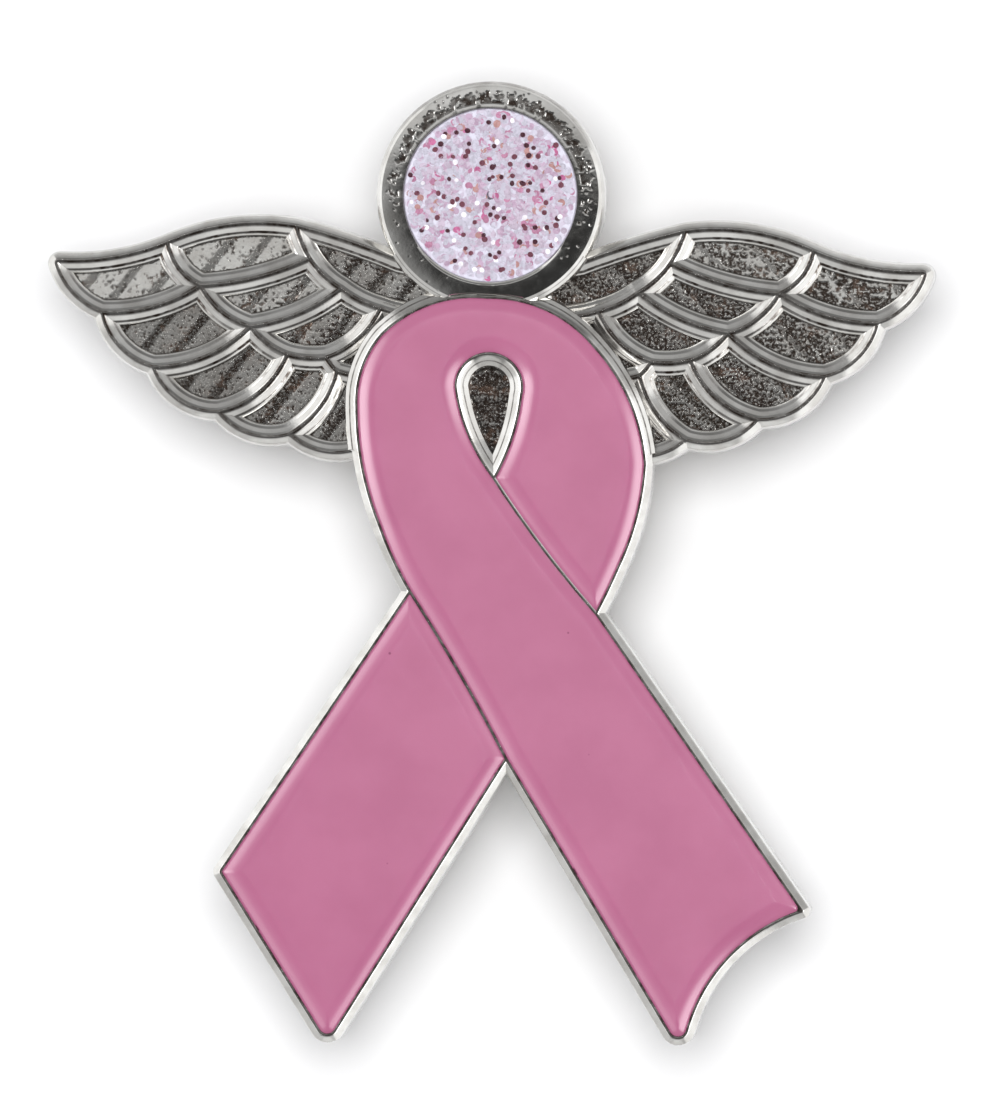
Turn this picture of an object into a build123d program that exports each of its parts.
from build123d import *
import math
import os

# Awareness ribbon pin, cast in one piece with a soldered post, filled with enamel and held by a clutch.
# Lengths are in millimetres. The pin lies face up: +X to the right, +Y to the head, +Z out of the face.

# Levels of the casting, measured up from its flat back
feather_floor_level = 1.02
feather_crest_level = 1.42
ribbon_rim_level = 1.72
head_rim_level = 1.86
drop_floor_level = 0.95
enamel_floor_level = 1.0

# Crests and walls that every field of the casting shares. Wall angles are in degrees from upright.
crest_half_width = 0.06
outer_draft_angle = 7.5
wing_draft_angle = 10.5
tray_wall_angle = 40.0
drop_wall_angle = 29.0

# Head ring
head_radius = 3.58
glitter_radius = 2.93
head_edge_bevel = 0.1

# Wings, measured from the middle line of the head
wing_reach = 15.0
wing_height = 7.6
wing_below_head_centre = 1.0
wing_tip_round = 0.05

# Ribbon
ribbon_spread = 19.2
ribbon_height = 24.6
ribbon_below_head_centre = 3.4
fold_crest_half_width = 0.05
fold_crest_overrun = 0.12
tail_tip_round = 0.33

# Enamel
enamel_clearance = 0.03
enamel_below_rim = 0.02
shoulder_width = 0.3
shoulder_height = 0.1
glitter_below_rim = 0.05
glitter_shoulder_width = 0.2

# Post, which stands on a solder pad on the back
post_radius = 0.55
post_length = 6.5
post_point_length = 0.9
post_point_radius = 0.12
post_below_head_centre = 5.8
solder_pad_radius = 1.3
solder_pad_height = 0.2

# Clutch: a flange against the cloth, a hub, and two finger tabs flush with the hub's end
cloth_gap = 1.3
clutch_flange_radius = 5.2
clutch_flange_height = 0.7
clutch_hub_radius = 3.7
clutch_tab_reach = 5.8
clutch_tab_width = 4.4
clutch_tab_height = 1.5
clutch_bore_clearance = 0.05
clutch_tip_clearance = 0.25
clutch_end_wall = 0.4
clutch_edge_round = 0.25

# Where the crests of a wing meet: out from the middle line as a share of wing_reach,
# down from the top of the wing as a share of wing_height.
wing_points = {
    # name: (out, down)
    "tip": (0.972, 0.174),
    "top_outer": (0.720, 0.090),
    "top_inner": (0.433, 0.011),
    "at_head": (0.202, 0.156),
    "row_one_end": (0.402, 0.153),
    "row_one_start": (0.645, 0.280),
    "row_two_start": (0.532, 0.457),
    "row_two_end": (0.331, 0.284),
    "row_three_end": (0.242, 0.369),
    "at_ribbon_top": (0.188, 0.394),
    "row_three_start": (0.449, 0.577),
    "row_three_foot": (0.362, 0.588),
    "row_four_end": (0.337, 0.648),
    "at_ribbon_side": (0.270, 0.664),
    "lobe_one": (0.865, 0.404),
    "lobe_two": (0.749, 0.641),
    "lobe_three": (0.602, 0.834),
    "lobe_four": (0.442, 0.928),
    "at_ribbon_foot": (0.288, 0.989),
    "under_ribbon_foot": (0.150, 0.950),
    "under_ribbon_side": (0.150, 0.664),
    "under_ribbon_top": (0.120, 0.420),
    "under_head": (0.100, 0.200),
}

# Crests between two of these points: a bulge is the rise of the arc as a share of its chord,
# positive to the left of the way from the first point to the second.
wing_crests = {
    # (first point, second point): bulge
    ("tip", "top_outer"): 0.058,
    ("top_outer", "top_inner"): -0.072,
    ("top_inner", "at_head"): -0.018,
    ("at_head", "under_head"): 0.0,
    ("top_outer", "row_one_start"): 0.128,
    ("lobe_one", "row_one_start"): 0.078,
    ("row_one_start", "row_one_end"): 0.050,
    ("top_inner", "row_one_end"): 0.043,
    ("row_one_end", "row_two_end"): 0.062,
    ("row_two_end", "row_three_end"): 0.050,
    ("row_three_end", "at_ribbon_top"): 0.030,
    ("at_ribbon_top", "under_ribbon_top"): 0.0,
    ("row_one_start", "row_two_start"): 0.104,
    ("row_two_start", "row_two_end"): 0.066,
    ("lobe_two", "row_two_start"): 0.100,
    ("row_two_start", "row_three_start"): 0.076,
    ("row_three_start", "row_three_foot"): 0.050,
    ("row_three_foot", "row_three_end"): 0.106,
    ("lobe_three", "row_three_start"): 0.129,
    ("lobe_four", "row_four_end"): 0.107,
    ("row_three_foot", "row_four_end"): 0.030,
    ("row_four_end", "at_ribbon_side"): 0.050,
    ("at_ribbon_side", "under_ribbon_side"): 0.0,
    ("tip", "lobe_one"): 0.126,
    ("lobe_one", "lobe_two"): 0.144,
    ("lobe_two", "lobe_three"): 0.164,
    ("lobe_three", "lobe_four"): 0.154,
    ("lobe_four", "at_ribbon_foot"): 0.137,
    ("at_ribbon_foot", "under_ribbon_foot"): 0.0,
    ("under_ribbon_foot", "under_ribbon_side"): 0.0,
    ("under_ribbon_side", "under_ribbon_top"): 0.0,
    ("under_ribbon_top", "under_head"): 0.0,
}

# Each feather is the field inside a loop of crests
feathers = {
    "tip": ("tip", "top_outer", "row_one_start", "lobe_one"),
    "top_middle": ("top_outer", "top_inner", "row_one_end", "row_one_start"),
    "top_inner": ("top_inner", "at_head", "under_head", "under_ribbon_top", "at_ribbon_top",
                  "row_three_end", "row_two_end", "row_one_end"),
    "second_outer": ("lobe_one", "row_one_start", "row_two_start", "lobe_two"),
    "second_inner": ("row_one_start", "row_one_end", "row_two_end", "row_two_start"),
    "third_outer": ("lobe_two", "row_two_start", "row_three_start", "lobe_three"),
    "third_inner": ("row_two_start", "row_two_end", "row_three_end", "row_three_foot", "row_three_start"),
    "upper_sliver": ("row_three_foot", "row_three_end", "at_ribbon_top", "under_ribbon_top",
                     "under_ribbon_side", "at_ribbon_side", "row_four_end"),
    "fourth": ("lobe_three", "row_three_start", "row_three_foot", "row_four_end", "lobe_four"),
    "lower_sliver": ("lobe_four", "row_four_end", "at_ribbon_side", "under_ribbon_side",
                     "under_ribbon_foot", "at_ribbon_foot"),
}
wing_edge = ("tip", "top_outer", "top_inner", "at_head", "under_head", "under_ribbon_top", "under_ribbon_side",
             "under_ribbon_foot", "at_ribbon_foot", "lobe_four", "lobe_three", "lobe_two", "lobe_one")

# Where the crests of the ribbon meet: to the right of the middle line as a share of ribbon_spread,
# down from the top of the loop as a share of ribbon_height.
ribbon_points = {
    # name: (right, down)
    "loop_top": (-0.003, 0.0),
    "left_shoulder": (-0.186, 0.052),
    "left_side": (-0.228, 0.150),
    "left_waist": (-0.185, 0.311),
    "left_cross": (-0.130, 0.400),
    "right_shoulder": (0.184, 0.064),
    "right_side": (0.276, 0.223),
    "right_waist": (0.233, 0.362),
    "right_cross": (0.195, 0.426),
    "notch": (0.042, 0.625),
    "front_tip": (0.356, 1.022),
    "front_corner": (0.560, 0.824),
    "tail_corner": (-0.453, 0.784),
    "tail_tip": (-0.262, 1.015),
    "drop_top": (-0.002, 0.076),
    "drop_left": (-0.055, 0.121),
    "drop_right": (0.058, 0.132),
    "drop_tip": (0.0135, 0.2445),
}
ribbon_crests = {
    # (first point, second point): bulge
    ("loop_top", "left_shoulder"): -0.112,
    ("left_shoulder", "left_side"): -0.097,
    ("left_side", "left_waist"): -0.048,
    ("left_waist", "left_cross"): -0.024,
    ("left_cross", "notch"): 0.012,
    ("notch", "front_tip"): 0.0,
    ("front_tip", "front_corner"): 0.145,
    ("front_corner", "right_cross"): 0.0,
    ("right_cross", "right_waist"): -0.010,
    ("right_waist", "right_side"): -0.048,
    ("right_side", "right_shoulder"): -0.086,
    ("right_shoulder", "loop_top"): -0.114,
    ("left_cross", "tail_corner"): 0.0,
    ("tail_corner", "tail_tip"): 0.0,
    ("tail_tip", "notch"): 0.0,
    ("drop_right", "drop_top"): -0.250,
    ("drop_top", "drop_left"): -0.194,
    ("drop_tip", "drop_right"): -0.050,
    ("drop_left", "drop_tip"): -0.068,
    ("drop_tip", "right_cross"): -0.018,
}
front_edge = ("loop_top", "left_shoulder", "left_side", "left_waist", "left_cross", "notch", "front_tip",
              "front_corner", "right_cross", "right_waist", "right_side", "right_shoulder")
tail_edge = ("left_cross", "tail_corner", "tail_tip", "notch")
ribbon_edge = ("loop_top", "left_shoulder", "left_side", "left_waist", "left_cross", "tail_corner", "tail_tip",
               "notch", "front_tip", "front_corner", "right_cross", "right_waist", "right_side", "right_shoulder")
drop_edge = ("drop_right", "drop_top", "drop_left", "drop_tip")

# Corners that are rounded, with the radius on the crest
corner_rounds = {"tail_tip": tail_tip_round, "front_tip": tail_tip_round, "tip": wing_tip_round}


def bent_side(start, end, bulge):
    # A crest as (middle of its circle or None, radius or direction, turn), counter-clockwise positive
    chord = end - start
    if abs(bulge) < 1e-6:
        return (start, chord.normalized(), 0)
    sagitta = abs(bulge) * chord.length
    radius = (chord.length ** 2 / 4 + sagitta ** 2) / (2 * sagitta)
    towards = Vector(-chord.Y, chord.X, 0).normalized() * math.copysign(1, bulge)
    return ((start + end) * 0.5 + towards * (sagitta - radius), radius, -math.copysign(1, bulge))


def moved_in(side, inset):
    # The same crest moved to the left of its way, which is inwards on a counter-clockwise loop
    middle, radius, turn = side
    if turn == 0:
        return (middle + Vector(-radius.Y, radius.X, 0) * inset, radius, 0)
    return (middle, radius - turn * inset, turn)


def meeting(one, two, near):
    # Where two crests or their extensions meet, nearest to a point
    if one[2] == 0 and two[2] == 0:
        start, way = one[0], one[1]
        across = Vector(-two[1].Y, two[1].X, 0)
        return start + way * ((two[0] - start).dot(across) / way.dot(across))
    if one[2] == 0 or two[2] == 0:
        line, arc = (one, two) if one[2] == 0 else (two, one)
        foot = line[0] + line[1] * (arc[0] - line[0]).dot(line[1])
        along = line[1]
        half = math.sqrt(max(arc[1] ** 2 - (arc[0] - foot).length ** 2, 0))
    else:
        apart = two[0] - one[0]
        along = apart.normalized()
        reach = (apart.length ** 2 + one[1] ** 2 - two[1] ** 2) / (2 * apart.length)
        foot = one[0] + along * reach
        along = Vector(-along.Y, along.X, 0)
        half = math.sqrt(max(one[1] ** 2 - reach ** 2, 0))
    return min(foot + along * half, foot - along * half, key=lambda spot: (spot - near).length)


def foot_on(side, spot):
    # The point of a crest that is nearest to a spot
    middle, radius, turn = side
    if turn == 0:
        return middle + radius * (spot - middle).dot(radius)
    return middle + (spot - middle).normalized() * radius


def stretch(side, start, end):
    # The stretch of a crest between two of its points, as an edge
    if side[2] == 0 or (end - start).length < 1e-6:
        return Edge.make_line(start, end)
    outwards = (start + end) * 0.5 - side[0]
    return Edge.make_three_point_arc(start, side[0] + outwards.normalized() * side[1], end)


def loop(names, places, crests, inset, level=0.0):
    # The closed loop through named crests, moved in by inset and lifted to a level
    sides = []
    for first, second in zip(names, names[1:] + names[:1]):
        if (first, second) in crests:
            bulge = crests[(first, second)]
        else:
            bulge = -crests[(second, first)]
        sides.append(bent_side(places[first], places[second], bulge))
    arrive, leave, corners = [], [], []
    for count, name in enumerate(names):
        before, after = sides[count - 1], sides[count]
        rounding = corner_rounds.get(name, 0)
        if rounding > max(inset, 0):
            middle = meeting(moved_in(before, rounding), moved_in(after, rounding), places[name])
            arrive.append(foot_on(moved_in(before, inset), middle))
            leave.append(foot_on(moved_in(after, inset), middle))
            corners.append((middle, rounding - inset, 1))
        else:
            spot = meeting(moved_in(before, inset), moved_in(after, inset), places[name])
            arrive.append(spot)
            leave.append(spot)
            corners.append(None)
    edges = []
    for count in range(len(names)):
        if corners[count]:
            edges.append(stretch(corners[count], arrive[count], leave[count]))
        edges.append(stretch(moved_in(sides[count], inset), leave[count], arrive[(count + 1) % len(names)]))
    return Wire(edges).moved(Location((0, 0, level)))


def between(low_loop, high_loop):
    # The solid between a loop and a loop above it, with ruled walls
    return Solid.make_loft([low_loop, high_loop], ruled=True)


# Points of the wings and the ribbon at their real size, with the centre of the head as zero
wing_places = {}
for name, (out, down) in wing_points.items():
    wing_places[name] = Vector(out * wing_reach, -wing_below_head_centre - down * wing_height, 0)
ribbon_places = {}
for name, (right, down) in ribbon_points.items():
    ribbon_places[name] = Vector(right * ribbon_spread, -ribbon_below_head_centre - down * ribbon_height, 0)


def wing_loop(names, inset, level):
    return loop(names, wing_places, wing_crests, inset, level)


def ribbon_loop(names, inset, level):
    return loop(names, ribbon_places, ribbon_crests, inset, level)


def drafted(make_loop, names, level, draft_angle):
    # A plate from the flat back up to a level, whose walls lean out towards the back
    spread = level * math.tan(math.radians(draft_angle))
    return between(make_loop(names, -crest_half_width - spread, 0), make_loop(names, -crest_half_width, level))


def sunk(make_loop, names, crest_level, floor_level, wall_angle):
    # The hollow of a tray, with walls that slope in towards its floor
    spread = (crest_level - floor_level) * math.tan(math.radians(wall_angle))
    floor_loop = make_loop(names, crest_half_width + spread, floor_level)
    return between(floor_loop, make_loop(names, crest_half_width, crest_level))


def fold_loop(half_width, level):
    # The narrow loop round the crest of the fold, from the teardrop to the right crossing
    start, end = ribbon_places["drop_tip"], ribbon_places["right_cross"]
    overrun = (end - start).normalized() * fold_crest_overrun
    middle = bent_side(start, end, ribbon_crests[("drop_tip", "right_cross")])
    lower, upper = moved_in(middle, -half_width), moved_in(middle, half_width)
    low_start, low_end = foot_on(lower, start - overrun), foot_on(lower, end + overrun)
    high_start, high_end = foot_on(upper, start - overrun), foot_on(upper, end + overrun)
    edges = [stretch(lower, low_start, low_end), Edge.make_line(low_end, high_end),
             stretch(upper, high_end, high_start), Edge.make_line(high_start, low_start)]
    return Wire(edges).moved(Location((0, 0, level)))


def front_region(inset, low, high, lean=0.0):
    # The front enamel field between two levels: inside the front edge, round the teardrop and the fold crest.
    # Its walls stand inset from the crests, and lean in by lean at the upper level.
    outside = between(ribbon_loop(front_edge, inset, low), ribbon_loop(front_edge, inset + lean, high))
    island = between(ribbon_loop(drop_edge, -inset, low), ribbon_loop(drop_edge, -inset - lean, high))
    grow = inset - crest_half_width + fold_crest_half_width
    fold = between(fold_loop(grow, low), fold_loop(grow + lean, high))
    return outside - island - fold


def tail_region(inset, low, high, lean=0.0):
    # The tail enamel field between two levels
    return between(ribbon_loop(tail_edge, inset, low), ribbon_loop(tail_edge, inset + lean, high))


def enamel_fill(region):
    # Enamel in its field: upright against the walls, with a sloped shoulder round its top
    inset = crest_half_width + enamel_clearance
    top = ribbon_rim_level - enamel_below_rim
    low = enamel_floor_level + enamel_clearance
    shoulder = top - shoulder_height
    return region(inset, low, shoulder) + region(inset, shoulder, top, shoulder_width)


def make_wing():
    # The right wing: its drafted plate less the tray of each feather
    wing = drafted(wing_loop, wing_edge, feather_crest_level, wing_draft_angle)
    for names in feathers.values():
        wing -= sunk(wing_loop, names, feather_crest_level, feather_floor_level, tray_wall_angle)
    return wing


def make_head():
    # The head plate, drafted like the rest, with a bevelled edge
    spread = head_rim_level * math.tan(math.radians(outer_draft_angle))
    head = Solid.make_cone(head_radius + spread, head_radius, head_rim_level)
    return chamfer(head.edges().filter_by(GeomType.CIRCLE).sort_by(Axis.Z)[-1], head_edge_bevel)


def make_casting():
    # Both wings, the ribbon and the head in one, less the fields that hold enamel and the teardrop tray
    wing = make_wing()
    ribbon = drafted(ribbon_loop, ribbon_edge, ribbon_rim_level, outer_draft_angle)
    casting = ribbon + wing + mirror(wing, about=Plane.YZ)
    casting += make_head()
    casting -= front_region(crest_half_width, enamel_floor_level, ribbon_rim_level)
    casting -= tail_region(crest_half_width, enamel_floor_level, ribbon_rim_level)
    casting -= sunk(ribbon_loop, drop_edge, ribbon_rim_level, drop_floor_level, drop_wall_angle)
    field_height = head_rim_level - enamel_floor_level
    return casting - Pos(0, 0, enamel_floor_level) * Solid.make_cylinder(glitter_radius, field_height)


def make_post():
    # A post with its solder pad and point, which hangs down from the back
    shank_length = post_length - post_point_length
    pad = Pos(0, 0, -solder_pad_height) * Solid.make_cylinder(solder_pad_radius, solder_pad_height)
    shank = Pos(0, 0, -shank_length) * Solid.make_cylinder(post_radius, shank_length)
    point = Pos(0, 0, -post_length) * Solid.make_cone(post_point_radius, post_radius, post_point_length)
    return pad + shank + point


clutch_height = post_length - cloth_gap + clutch_tip_clearance + clutch_end_wall


def make_clutch():
    # A clutch with its bore open upwards, whose flat end is what the pin rests on
    flange = Solid.make_cylinder(clutch_flange_radius, clutch_flange_height)
    flange = fillet(flange.edges().filter_by(GeomType.CIRCLE), clutch_edge_round)
    hub = Solid.make_cylinder(clutch_hub_radius, clutch_height - clutch_edge_round)
    hub = chamfer(hub.edges().filter_by(GeomType.CIRCLE).sort_by(Axis.Z)[0], clutch_edge_round)
    tabs = Pos(0, 0, clutch_tab_height / 2) * Box(clutch_tab_width, 2 * clutch_tab_reach, clutch_tab_height)
    tabs = fillet(tabs.edges().filter_by(Axis.Z), clutch_tab_width / 4)
    tabs = chamfer(tabs.faces().sort_by(Axis.Z)[0].edges(), clutch_edge_round)
    clutch = hub + Pos(0, 0, clutch_height - clutch_flange_height) * flange + tabs
    bore = Pos(0, 0, clutch_end_wall) * Solid.make_cylinder(post_radius + clutch_bore_clearance, clutch_height)
    return clutch - bore


clutch_base = -cloth_gap - clutch_height
post_place = Pos(0, -post_below_head_centre, 0)


def make_glitter():
    # The glitter enamel, which fills the field of the head and has a sloped shoulder round its top
    low = enamel_floor_level + enamel_clearance
    height = head_rim_level - glitter_below_rim - low
    disc = Pos(0, 0, low) * Solid.make_cylinder(glitter_radius - enamel_clearance, height)
    top_edge = disc.edges().filter_by(GeomType.CIRCLE).sort_by(Axis.Z)[-1]
    return chamfer(top_edge, shoulder_height, glitter_shoulder_width)


nodes = {
    "badge_body": make_casting() + post_place * make_post(),
    "ribbon_enamel_front": enamel_fill(front_region),
    "ribbon_enamel_tail": enamel_fill(tail_region),
    "head_glitter_enamel": make_glitter(),
    "clutch": post_place * Pos(0, 0, clutch_base) * make_clutch(),
}

# The origin is under the middle of the badge, on the plane that the clutch rests on
middle = nodes["badge_body"].bounding_box().center()
shift = Pos(-middle.X, -middle.Y, -clutch_base)
os.makedirs("parts", exist_ok=True)
for name, piece in nodes.items():
    placed = shift * piece
    export_step(placed, "parts/" + name + ".step")
    corner, size = placed.bounding_box().min, placed.bounding_box().size
    print(name, "solids", len(placed.solids()), "volume", round(placed.volume, 3), "size",
          [round(value, 3) for value in size], "low corner", [round(value, 3) for value in corner])
